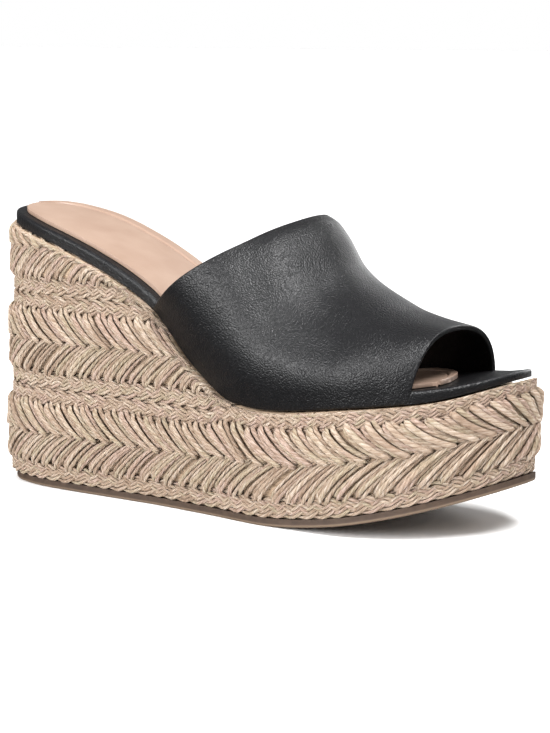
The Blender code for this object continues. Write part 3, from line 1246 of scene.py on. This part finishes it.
    def plait_mesh(self, plait: Plait, number: int) -> bmesh.types.BMesh:
        """Make a narrow plait.

        Args:
            plait: The plait.
            number: Its place in the tier, for the chance tones.

        Returns:
            The bmesh, in the model's frame.
        """
        start, end = self.walk_range()
        chance = np.random.default_rng(SEED + 1000 + 100 * self.level + number)
        segments = int((end - start) / plait.segment)
        yarn_mesh, shares = yarn_grid(segments, plait.sides, end - start)
        s, turn = start + shares[:, 0] * (end - start), shares[:, 1] * 2 * pi
        stretch = (end - start) / round((end - start) / plait.period) / plait.period
        bm = bmesh.new()
        points = []
        tones = []
        for strand in range(plait.strands):
            line = plait.line(s / stretch, strand, self.form.tier_height)
            ahead = plait.line(s / stretch + 0.2 * MM, strand, self.form.tier_height)
            square = square_to((ahead - line)[:, :2])
            for yarn in range(plait.yarns):
                bm.from_mesh(yarn_mesh)
                beside = yarn - (plait.yarns - 1) / 2
                wander = plait.wander * np.sin(s / plait.wander_length + chance.random() * PHASES)
                across = beside * plait.beside * plait.radius + wander + plait.radius * np.cos(turn)
                flat = line[:, :2] + square * across[:, None]
                flat[:, 0] += s - s / stretch
                out = line[:, 2] + plait.radius * np.sin(turn)
                points.append(np.column_stack((flat, out)))
                tones.append(chance.random() + 0 * s)
        face = plait.surface + plait.radius + plait.edge_fall / 2
        return self.lay_on(bm, np.concatenate(points), np.concatenate(tones), face)

    def core(self) -> bmesh.types.BMesh:
        """Make the coiled core behind the tapes.

        Returns:
            The bmesh, in the model's frame.
        """
        last = 180.0 if self.front >= 1.0 else float(np.degrees(np.arccos(1 - 2 * self.front)))
        rings = []
        shares = np.linspace(0.0, 1.0, self.core_heights)
        # The core stands further out behind the herringbone than behind the two plaits.
        bulge = self.core_bulge * ease(shares, 0.16, 0.26) * ease(shares, 0.86, 0.76)
        for angle in np.linspace(0.0, last, self.core_rings):
            ring = []
            for side in Side:
                heights = shares[:: side.way]
                plan = self.form.edge(side.way * angle + 0 * shares, self.core_inset - bulge[:: side.way])
                bottom = self.form.tier_seam(plan[:, 0], self.level)
                top = self.form.tier_seam(plan[:, 0], self.level + 1)
                lid = self.form.rim(plan[:, 0]) - self.core_drop
                z = np.minimum(bottom + heights * (top - bottom), lid)
                z = np.maximum(z, np.minimum(bottom, lid - 0.1 * MM))
                ring.append(self.form.centred(np.column_stack((plan, z))))
            rings.append(np.concatenate(ring))
        return loft(rings)

    def build(self, yarn: bpy.types.Material, core: bpy.types.Material) -> list[bpy.types.Object]:
        """Make the tier's pieces.

        Args:
            yarn: Finish of the tapes.
            core: Finish behind them.

        Returns:
            The core, then a piece for each row.
        """
        mesh = mesh_from("core", self.core())
        pieces = [finish_piece(f"{self.node}_core", mesh, core, (self.node,))]
        for number, row in enumerate(self.rows):
            mesh = mesh_from(row.name, self.row_mesh(row, number))
            pieces.append(finish_piece(f"{self.node}_{row.name}", mesh, yarn))
        for number, plait in enumerate(self.plaits):
            mesh = mesh_from(plait.name, self.plait_mesh(plait, number))
            pieces.append(finish_piece(f"{self.node}_{plait.name}", mesh, yarn))
        return pieces


@dataclass
class RimCords:
    """Plain cords along the rim, between the tapes' folded edge and what stands on the wedge."""

    form: ShoeForm
    insets: tuple[float, ...] = (3.2 * MM, 4.7 * MM)
    radius: float = 0.85 * MM
    drop: float = 0.45 * MM
    wander: float = 0.30 * MM
    wander_length: float = 11.0 * MM
    segment: float = 2.0 * MM
    sides: int = 6

    def build(self, yarn: bpy.types.Material) -> bpy.types.Object:
        """Make the cords as one piece.

        Args:
            yarn: Their finish.

        Returns:
            The piece.
        """
        length = float(self.form.walk[-1])
        chance = np.random.default_rng(SEED + 2000)
        yarn_mesh, shares = yarn_grid(int(length / self.segment), self.sides, length)
        walk, turn = shares[:, 0] * length, shares[:, 1] * 2 * pi
        bm = bmesh.new()
        points = []
        tones = []
        for inset in self.insets:
            bm.from_mesh(yarn_mesh)
            sway = self.wander * np.sin(walk / self.wander_length + chance.random() * PHASES)
            plan = self.form.side(walk, inset + sway + self.radius * np.cos(turn))
            z = self.form.rim(plan[:, 0]) - self.drop - self.radius * (1 - np.sin(turn))
            points.append(self.form.centred(np.column_stack((plan, z))))
            tones.append(chance.random() + 0 * walk)
        place_corners(bm, np.concatenate(points), np.concatenate(tones))
        bmesh.ops.remove_doubles(bm, verts=bm.verts, dist=WELD)
        return finish_piece("rim_cords", mesh_from("rim_cords", bm), yarn)


@dataclass
class LooseFibres:
    """Short hairs that stand out of the jute, thickest along the rim where the tapes are cut."""

    form: ShoeForm
    count: int = 3800
    tier_shares: tuple[float, ...] = (0.5, 0.28, 0.22)
    rim_share: float = 0.45
    rim_band: float = 2.5
    root: float = 1.2 * MM
    length: float = 3.2 * MM
    length_shares: tuple[float, float] = (0.4, 1.3)
    lift_shares: tuple[float, float] = (0.10, 0.55)
    curl: float = 0.9
    thickness: float = 0.10 * MM
    joints: int = 3

    def build(self, tiers: Sequence[JuteTier], yarn: bpy.types.Material) -> bpy.types.Object:
        """Make the hairs of all tiers as one piece.

        Args:
            tiers: The tiers that the hairs grow on.
            yarn: Their finish.

        Returns:
            The piece.
        """
        chance = np.random.default_rng(SEED + 5)
        hair = bmesh.new()
        hair.loops.layers.uv.new("yarn")
        bmesh.ops.create_cone(hair, segments=3, radius1=0.5, radius2=0.2, depth=1.0, calc_uvs=True)
        long_edges = [wire for wire in hair.edges if abs(wire.verts[0].co.z - wire.verts[1].co.z) > 0.5]
        bmesh.ops.subdivide_edges(hair, edges=long_edges, cuts=self.joints)
        shape = np.array([corner.co for corner in hair.verts])
        hair_mesh = mesh_from("hair", hair)
        t = shape[:, 2] + 0.5
        bm = bmesh.new()
        points = []
        tones = []
        for tier, share in zip(tiers, self.tier_shares):
            start, end = tier.walk_range()
            walks = chance.uniform(start, end, int(self.count * share))
            plan = self.form.side(walks, 0 * walks)
            to_rim = self.form.rim(plan[:, 0]) - self.form.tier_seam(plan[:, 0], tier.level)
            flat = []
            for walk, rim in zip(walks, to_rim):
                bm.from_mesh(hair_mesh)
                up = chance.uniform(0.03, 0.97) * self.form.tier_height
                if chance.random() < self.rim_share:
                    up = rim - chance.uniform(0, self.rim_band) * MM
                root = np.array((walk, up, -self.root))
                length = self.length * chance.uniform(*self.length_shares)
                turn = chance.uniform(0, 2 * pi) + chance.normal(0, self.curl) * t
                lift = chance.uniform(*self.lift_shares)
                way = np.column_stack((np.cos(turn), np.sin(turn), lift * (1 - 0.4 * t)))
                way *= (t * length)[:, None]
                flat.append(root + way + np.column_stack((shape[:, 0], shape[:, 1], 0 * t)) * self.thickness)
                tones.append(np.full(len(t), chance.random()))
            points.append(tier.on_side(np.concatenate(flat))[0])
        place_corners(bm, np.concatenate(points), np.concatenate(tones))
        mesh = mesh_from("loose_fibres", bm, recalculate=False)
        return finish_piece("loose_jute_fibres", mesh, yarn)


@dataclass(frozen=True)
class SoftCrease:
    """A soft ridge or trough of the upper, through places (along, across) on its outer face."""

    rise: float
    width: float
    places: tuple[tuple[float, float], ...]

    def height(self, points: np.ndarray, posts: np.ndarray) -> np.ndarray:
        """How far the crease moves each point outwards.

        Args:
            points: Points of the outer face.
            posts: The crease's own points on that face.

        Returns:
            Distances along the outward normal.
        """
        nearest = np.full(len(points), np.inf)
        for start, end in zip(posts, posts[1:]):
            step = end - start
            share = np.clip((points - start) @ step / (step @ step), 0.0, 1.0)
            gap = points - start - share[:, None] * step
            nearest = np.minimum(nearest, np.linalg.norm(gap, axis=1))
        return self.rise * np.exp(-((nearest / self.width) ** 2))


@dataclass
class Upper:
    """Broad leather upper, folded round at the collar and at the toe edge, with its lining."""

    form: ShoeForm
    wall: float = 2.2 * MM
    lengthwise: int = 110
    acrosswise: int = 180
    fold_round: float = 0.95 * MM
    creases: tuple[SoftCrease, ...] = (
        SoftCrease(
            rise=0.5 * MM,
            width=9 * MM,
            places=((0.10, 0.185), (0.20, 0.175), (0.30, 0.150), (0.43, 0.125), (0.58, 0.105), (0.78, 0.115)),
        ),
        SoftCrease(
            rise=-0.8 * MM,
            width=7 * MM,
            places=((0.00, 0.275), (0.08, 0.250), (0.20, 0.225), (0.33, 0.200), (0.48, 0.180), (0.60, 0.175)),
        ),
        SoftCrease(
            rise=0.5 * MM,
            width=9 * MM,
            places=((0.00, 0.340), (0.10, 0.315), (0.20, 0.300), (0.30, 0.290)),
        ),
        SoftCrease(
            rise=-0.4 * MM,
            width=8 * MM,
            places=((0.00, 0.420), (0.15, 0.385), (0.30, 0.375)),
        ),
        SoftCrease(
            rise=-0.6 * MM,
            width=7 * MM,
            places=((0.05, 0.760), (0.20, 0.780), (0.36, 0.810), (0.52, 0.830)),
        ),
        SoftCrease(
            rise=0.4 * MM,
            width=9 * MM,
            places=((0.04, 0.690), (0.18, 0.700), (0.34, 0.720)),
        ),
        SoftCrease(
            rise=-0.35 * MM,
            width=6 * MM,
            places=((0.62, 0.300), (0.66, 0.420), (0.67, 0.540), (0.64, 0.660)),
        ),
    )
    foot_fade: float = 0.06
    collar_fade: float = 0.12
    collar_share: float = 0.3

    def outer_face(self, along: np.ndarray, across: np.ndarray) -> np.ndarray:
        """Outer face with its soft creases.

        Args:
            along: Shares from the collar to the toe edge.
            across: Shares from the lateral base to the medial one.

        Returns:
            Points, in the model's frame.
        """
        # The outward normal comes from two short steps over the face.
        step = 0.004
        # The creases fade out towards the wedge, and are shallow along the collar, which is folded and stiff.
        fade = ease(across, 0.0, self.foot_fade) * ease(across, 1.0, 1.0 - self.foot_fade)
        fade *= self.collar_share + (1 - self.collar_share) * ease(along, 0.0, self.collar_fade)
        points = self.form.upper_point(along, across)
        lengthways = self.form.upper_point(np.minimum(along + step, 1), across)
        lengthways = lengthways - self.form.upper_point(np.maximum(along - step, 0), across)
        crossways = self.form.upper_point(along, np.minimum(across + step, 1))
        crossways = crossways - self.form.upper_point(along, np.maximum(across - step, 0))
        normal = np.cross(lengthways, crossways)
        normal /= np.linalg.norm(normal, axis=1)[:, None]
        moved = np.zeros(len(points))
        for crease in self.creases:
            posts = self.form.upper_point(*np.array(crease.places).T)
            moved += crease.height(points, posts)
        return self.form.centred(points + normal * (moved * fade)[:, None])

    def build(self, leather: bpy.types.Material) -> bpy.types.Object:
        """Make the upper.

        Args:
            leather: Its finish.

        Returns:
            The piece.
        """
        bm = grid_mesh("panel", self.lengthwise, self.acrosswise, self.outer_face)
        crown = max(bm.faces, key=lambda face: face.calc_center_median().z)
        crown.normal_update()
        if crown.normal.z < 0:
            bmesh.ops.reverse_faces(bm, faces=bm.faces)
        mesh = mesh_from("upper", bm, recalculate=False)
        piece = finish_piece("upper_leather", mesh, leather, ("upper",))
        wall = piece.modifiers.new("wall", "SOLIDIFY")
        wall.thickness = self.wall
        wall.offset = -1.0
        wall.use_even_offset = True
        round_edges(piece, "fold", self.fold_round, 4)
        return piece


@dataclass
class Footbed:
    """Leather-covered board under the foot, drawn in where the upper's wall stands beside it."""

    form: ShoeForm
    edge_round: float = 1.5 * MM
    wall: float = 2.2 * MM
    play: float = 0.3 * MM
    blend: float = 0.6 * MM
    heights: int = 6

    def lean(self, foot: float, crown: float) -> float:
        """How far an edge of the upper leans towards the toe for each metre that it rises.

        Args:
            foot: Where the edge stands, as a share of the length.
            crown: Where its highest point is.

        Returns:
            The lean.
        """
        foot_z = float(self.form.rim(self.form.length * foot))
        crown_z = self.form.ball_rim() + self.form.instep_rise * float(smooth(crown, RIDGE, 1))
        return self.form.length * (crown - foot) / (crown_z - foot_z)

    def inset(self, x: float, height: float) -> float:
        """Distance of the board's side from the outer line.

        Args:
            x: Place along the shoe.
            height: Height above the rim.

        Returns:
            The inset.
        """
        collar = self.form.length * self.form.collar_foot
        collar += height * self.lean(self.form.collar_foot, self.form.collar_crown)
        toe = self.form.length * self.form.toe_edge_foot
        toe += height * self.lean(self.form.toe_edge_foot, self.form.toe_edge_crown)
        beside = ease(x, collar - self.play, collar - self.play + self.blend)
        beside *= ease(x, toe + self.play, toe + self.play - self.blend)
        return self.form.board_inset + (self.wall + self.play) * float(beside)

    def build(self, leather: bpy.types.Material) -> bpy.types.Object:
        """Make the board.

        Args:
            leather: Its finish.

        Returns:
            The piece.
        """
        # Closer rings follow the steps where the upper's wall starts and ends beside the board.
        edges = (self.form.length * share for share in (self.form.collar_foot, self.form.toe_edge_foot))
        closer = [edge + step * MM for edge in edges for step in np.arange(-2.0, 7.0, 0.4)]
        angles = [float(np.degrees(np.arccos(1 - 2 * x / self.form.length))) for x in closer]
        rings = []
        for angle in sorted(set(np.linspace(0.0, 180.0, RINGS)) | set(angles)):
            x = float(self.form.outline(angle)[0])
            thick = float(self.form.board_top(x) - self.form.rim(x)) - self.form.joint_gap
            straight = np.linspace(0.0, 1.0, self.heights) * (thick - self.edge_round)
            profile = [(height, 0.0) for height in straight]
            for turn in (22.5, 45.0, 67.5, 90.0):
                a = radians(turn)
                profile.append((thick - self.edge_round * (1 - sin(a)), self.edge_round * (1 - cos(a))))
            rings.append(
                self.form.section(
                    angle,
                    profile,
                    lambda height, step: self.inset(x, height) + step,
                    lambda place: float(self.form.rim(place)) + self.form.joint_gap,
                )
            )
        mesh = mesh_from("footbed", loft(rings))
        mesh.set_sharp_from_angle(angle=radians(60))
        return finish_piece("footbed_leather", mesh, leather, ("footbed",))


@dataclass
class Sock:
    """Padded leather sock on the footbed."""

    form: ShoeForm
    margin: float = 4.6 * MM
    thickness: float = 1.6 * MM
    crown: float = 1.2 * MM
    front_start: float = 0.755
    front_tip: float = 0.890
    squareness: float = 1.7
    tip_across: float = -0.19
    groove_inset: float = 7.5 * MM
    groove_depth: float = 0.85 * MM
    groove_width: float = 0.65 * MM
    margin_rise: float = 0.35 * MM
    edge_round: float = 0.7 * MM
    lengthwise: int = 200
    acrosswise: int = 130

    def across(self, x: np.ndarray, side: Side) -> np.ndarray:
        """Y of the sock's edge.

        Args:
            x: Places along the shoe.
            side: The side that the edge is on.

        Returns:
            Y at each place.
        """
        start, tip = self.form.length * self.front_start, self.form.length * self.front_tip
        along = self.form.edge_across(x, side, self.form.board_inset + self.margin)
        if side is Side.LATERAL:
            start = (start + tip) / 2
        past = np.clip((x - start) / (tip - start), 0, 1)
        tip_y = self.form.ball_width * self.tip_across
        return tip_y + (along - tip_y) * (1 - past**self.squareness) ** (1 / self.squareness)

    def build(self, leather: bpy.types.Material) -> bpy.types.Object:
        """Make the sock.

        Args:
            leather: Its finish.

        Returns:
            The piece.
        """
        first = float(self.form.edge(0.0, self.form.board_inset + self.margin)[0])
        last = self.form.length * self.front_tip

        def top(along: np.ndarray, across: np.ndarray) -> np.ndarray:
            """Top face: crowned, with a pressed groove along its medial edge.

            Args:
                along: Shares from the heel to the front tip.
                across: Shares from the lateral edge to the medial one.

            Returns:
                Points, in the model's frame.
            """
            x = first + (last - first) * (1 - np.cos(pi * along)) / 2
            lateral, medial = self.across(x, Side.LATERAL), self.across(x, Side.MEDIAL)
            y = lateral + (medial - lateral) * (1 - np.cos(pi * across)) / 2
            crown = self.crown * np.sin(pi * (x - first) / (last - first))
            share = (y - lateral) / np.maximum(medial - lateral, 1e-6)
            rise = self.thickness + crown * (1 - (2 * share - 1) ** 2)
            inside = medial - y - self.groove_inset
            rise -= self.groove_depth * np.exp(-((inside / self.groove_width) ** 2))
            rise += self.margin_rise * ease(inside, 0.2 * MM, -0.8 * MM) * ease(medial - y, 0.0, 2.0 * MM)
            z = self.form.board_top(x) + self.form.joint_gap + rise
            return self.form.centred(np.column_stack((x, y, z)))

        bm = grid_mesh("sock", self.lengthwise, self.acrosswise, top)
        bmesh.ops.remove_doubles(bm, verts=bm.verts, dist=WELD)
        bmesh.ops.recalc_face_normals(bm, faces=bm.faces)
        rim = [wire for wire in bm.edges if wire.is_boundary]
        made = bmesh.ops.extrude_edge_only(bm, edges=rim)["geom"]
        skirt = [part for part in made if isinstance(part, bmesh.types.BMVert)]
        for corner in skirt:
            corner.co.z -= self.thickness
        bmesh.ops.contextual_create(bm, geom=[part for part in made if isinstance(part, bmesh.types.BMEdge)])
        mesh = mesh_from("sock", bm)
        piece = finish_piece("sock_leather", mesh, leather, ("sock",))
        round_edges(piece, "round_edge", self.edge_round, 3)
        return piece


@dataclass
class Outsole:
    """Thin rubber sheet under the wedge, its lower corner rounded and painted paler, with a ribbed tread."""

    form: ShoeForm
    inset: float = 3.1 * MM
    edge_round: float = 0.7 * MM
    pale_lower_edge_height: float = 0.9 * MM
    tread_margin: float = 5.0 * MM
    toe_reach: float = 1.8 * MM
    toe_fade: tuple[float, float] = (150.0, 176.0)

    def build(self, rubber: bpy.types.Material) -> bpy.types.Object:
        """Make the sheet.

        Args:
            rubber: Its finish.

        Returns:
            The piece.
        """
        thick = self.form.outsole_thickness
        profile = [(0.0, self.tread_margin), (0.0, self.tread_margin - 1.0 * MM), (0.0, self.edge_round)]
        for turn in (30.0, 60.0, 90.0):
            a = radians(turn)
            profile.append((self.edge_round * (1 - cos(a)), self.edge_round * (1 - sin(a))))
        profile += [(self.pale_lower_edge_height, 0.0), (self.pale_lower_edge_height + 0.4 * MM, 0.0), (thick, 0.0)]
        rings = []
        for angle in np.linspace(0.0, 180.0, RINGS):
            # The tread's margin closes up towards both tips, where the ring is narrower than the margin.
            narrow = min(1.0, float(sin(radians(angle))) / 0.25)
            inset = self.inset - self.toe_reach * float(ease(angle, *self.toe_fade))
            rings.append(
                self.form.section(
                    angle,
                    profile,
                    lambda height, step: inset + step * (narrow if step > self.edge_round else 1.0),
                    lambda place: float(self.form.ground(place)),
                )
            )
        bm = loft(rings)
        # The sheet's lowest band, which the finish paints paler.
        pale_lower_edge = bm.verts.layers.float.new("pale_lower_edge")
        tread = bm.verts.layers.float.new("tread")
        for corner in bm.verts:
            x = corner.co.x - self.form.heel_x
            height = corner.co.z - float(self.form.ground(x))
            corner[pale_lower_edge] = float(height < self.pale_lower_edge_height + 0.1 * MM)
            inside = abs(corner.co.y - self.form.middle_y) < self.reach(x)
            corner[tread] = float(height < 0.05 * MM and inside)
        mesh = mesh_from("outsole", bm)
        mesh.set_sharp_from_angle(angle=radians(60))
        return finish_piece("outsole_rubber", mesh, rubber, ("outsole",))

    def reach(self, x: float) -> float:
        """Half width of the tread, a little inside the sheet's edge."""
        inset = self.inset + self.tread_margin - 0.5 * MM
        return float(max(abs(self.form.edge_across(x, side, inset)) for side in Side))


@dataclass(frozen=True)
class Softbox:
    """A square softbox: its direction in degrees, its distance, its side, and how bright its reflection is.

    An azimuth of 0 stands on the shoe's lateral side, 90 before the toe.
    """

    name: str
    azimuth: float
    elevation: float
    distance: float
    size: float
    glow: float


@dataclass
class Studio:
    """Plain pale floor, soft lights and the camera at the photograph's viewing angle."""

    azimuth: float = 34.03
    elevation: float = 8.51
    roll: float = 0.26
    lens: float = 108.15
    camera_place: tuple[float, float, float] = (0.5062, -0.7357, 0.1895)
    aim_height: float = 60.0 * MM
    room: float = 0.22
    floor_shade: float = 0.06
    sun_place: tuple[float, float, float] = (-0.35, 0.0, 1.0)
    sun_spread: float = 75.0
    sun_power: float = 2.95
    softboxes: tuple[Softbox, ...] = (
        Softbox("front_softbox", azimuth=-13.0, elevation=22.0, distance=1.6, size=0.80, glow=14.0),
        Softbox("toe_softbox", azimuth=69.0, elevation=58.0, distance=1.5, size=0.60, glow=27.0),
        Softbox("rear_softbox", azimuth=178.0, elevation=16.0, distance=1.6, size=1.0, glow=3.6),
    )

    def floor(self) -> bpy.types.Object:
        """Lay the floor.

        Returns:
            The floor.
        """
        bm = bmesh.new()
        bmesh.ops.create_grid(bm, x_segments=8, y_segments=8, size=30.0)
        mesh = mesh_from("floor", bm)
        material, tree, place = new_material("matt_white_sweep")
        noise = add_noise(tree, place, 2.0)
        colour = add_ramp(tree, noise, ((0.0, "#FBFBFB"), (1.0, "#FFFFFF")))
        shader = tree.nodes["Principled BSDF"]
        tree.links.new(colour, shader.inputs["Base Color"])
        shader.inputs["Roughness"].default_value = 0.9
        mesh.materials.append(material)
        floor = bpy.data.objects.new("floor", mesh)
        floor.visible_glossy = False
        bpy.context.scene.collection.objects.link(floor)
        return floor

    def hang(self, name: str, kind: str, place: Vector, energy: float) -> bpy.types.Object:
        """Hang a light that faces the shoe.

        Args:
            name: Name of the light.
            kind: Blender's name of its type.
            place: The way from the shoe to it.
            energy: Its power.

        Returns:
            The lamp.
        """
        data = bpy.data.lights.new(name, kind)
        data.energy = energy
        lamp = bpy.data.objects.new(name, data)
        lamp.location = Vector((0, 0, self.aim_height)) + place
        lamp.rotation_euler = place.to_track_quat("Z", "Y").to_euler()
        bpy.context.scene.collection.objects.link(lamp)
        return lamp

    def lights(self) -> None:
        """Hang the softboxes, and one wide diffuser that keeps the floor evenly white to the horizon."""
        for box in self.softboxes:
            a, e = radians(box.azimuth), radians(box.elevation)
            away = Vector((sin(a) * cos(e), -cos(a) * cos(e), sin(e)))
            lamp = self.hang(box.name, "AREA", away * box.distance, box.glow * pi * box.size**2)
            lamp.data.size = box.size
            lamp.visible_camera = False
        sun = self.hang("overhead_diffuser", "SUN", Vector(self.sun_place), self.sun_power)
        sun.data.angle = radians(self.sun_spread)
        sun.visible_glossy = False

    def camera(self) -> bpy.types.Object:
        """Set up the camera.

        Returns:
            The camera.
        """
        a, e, r = radians(self.azimuth), radians(self.elevation), radians(self.roll)
        back = Vector((sin(a) * cos(e), -cos(a) * cos(e), sin(e)))
        right = Vector((cos(a), sin(a), 0.0))
        up = back.cross(right)
        turned_right = right * cos(r) + up * sin(r)
        turned_up = up * cos(r) - right * sin(r)
        data = bpy.data.cameras.new("camera")
        data.lens = self.lens
        data.sensor_width = 36.0
        data.clip_start = 0.01
        data.clip_end = 100.0
        camera = bpy.data.objects.new("camera", data)
        camera.matrix_world = Matrix((turned_right, turned_up, back)).transposed().to_4x4()
        camera.location = self.camera_place
        bpy.context.scene.collection.objects.link(camera)
        bpy.context.scene.camera = camera
        return camera

    def surroundings(self) -> None:
        """White to the camera, and dimmer for the shoe, as in a studio with dark walls."""
        world = bpy.data.worlds.new("studio")
        world.use_nodes = True
        tree = world.node_tree
        rays = add_node(tree, "ShaderNodeLightPath")
        way = add_node(tree, "ShaderNodeTexCoord")
        parts = add_node(tree, "ShaderNodeSeparateXYZ", inputs={0: way.outputs["Generated"]})
        walls = add_range(tree, parts.outputs[2], (self.floor_shade, self.room), (-0.25, 0.1))
        strength = add_range(tree, rays.outputs["Is Camera Ray"], (walls, 1.0))
        background = tree.nodes["Background"]
        background.inputs["Color"].default_value = (1.0, 1.0, 1.0, 1.0)
        tree.links.new(strength, background.inputs["Strength"])
        bpy.context.scene.world = world
        bpy.context.scene.view_settings.view_transform = "Standard"

    def build(self) -> None:
        """Set up the whole studio."""
        self.floor()
        self.lights()
        self.surroundings()
        self.camera()


def main() -> None:
    """Build every sub-assembly in order."""
    logging.basicConfig(level=logging.INFO, format="%(name)s %(message)s")
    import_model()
    form = ShoeForm()
    yarn = JuteYarn().material()
    core = JuteCore().material()
    leather = BlackLeather().material()
    tiers = (
        JuteTier(form, 0, "wedge_lower_tier", 1.0),
        JuteTier(form, 1, "wedge_middle_tier", 0.556),
        JuteTier(form, 2, "wedge_upper_tier", 0.415),
    )
    for tier in tiers:
        tier.build(yarn, core)
    RimCords(form).build(yarn)
    LooseFibres(form).build(tiers, yarn)
    Footbed(form).build(leather)
    Sock(form).build(TanLeather().material())
    Upper(form).build(leather)
    Outsole(form).build(SheetRubber().material())
    Studio().build()


if __name__ == "__main__":
    main()
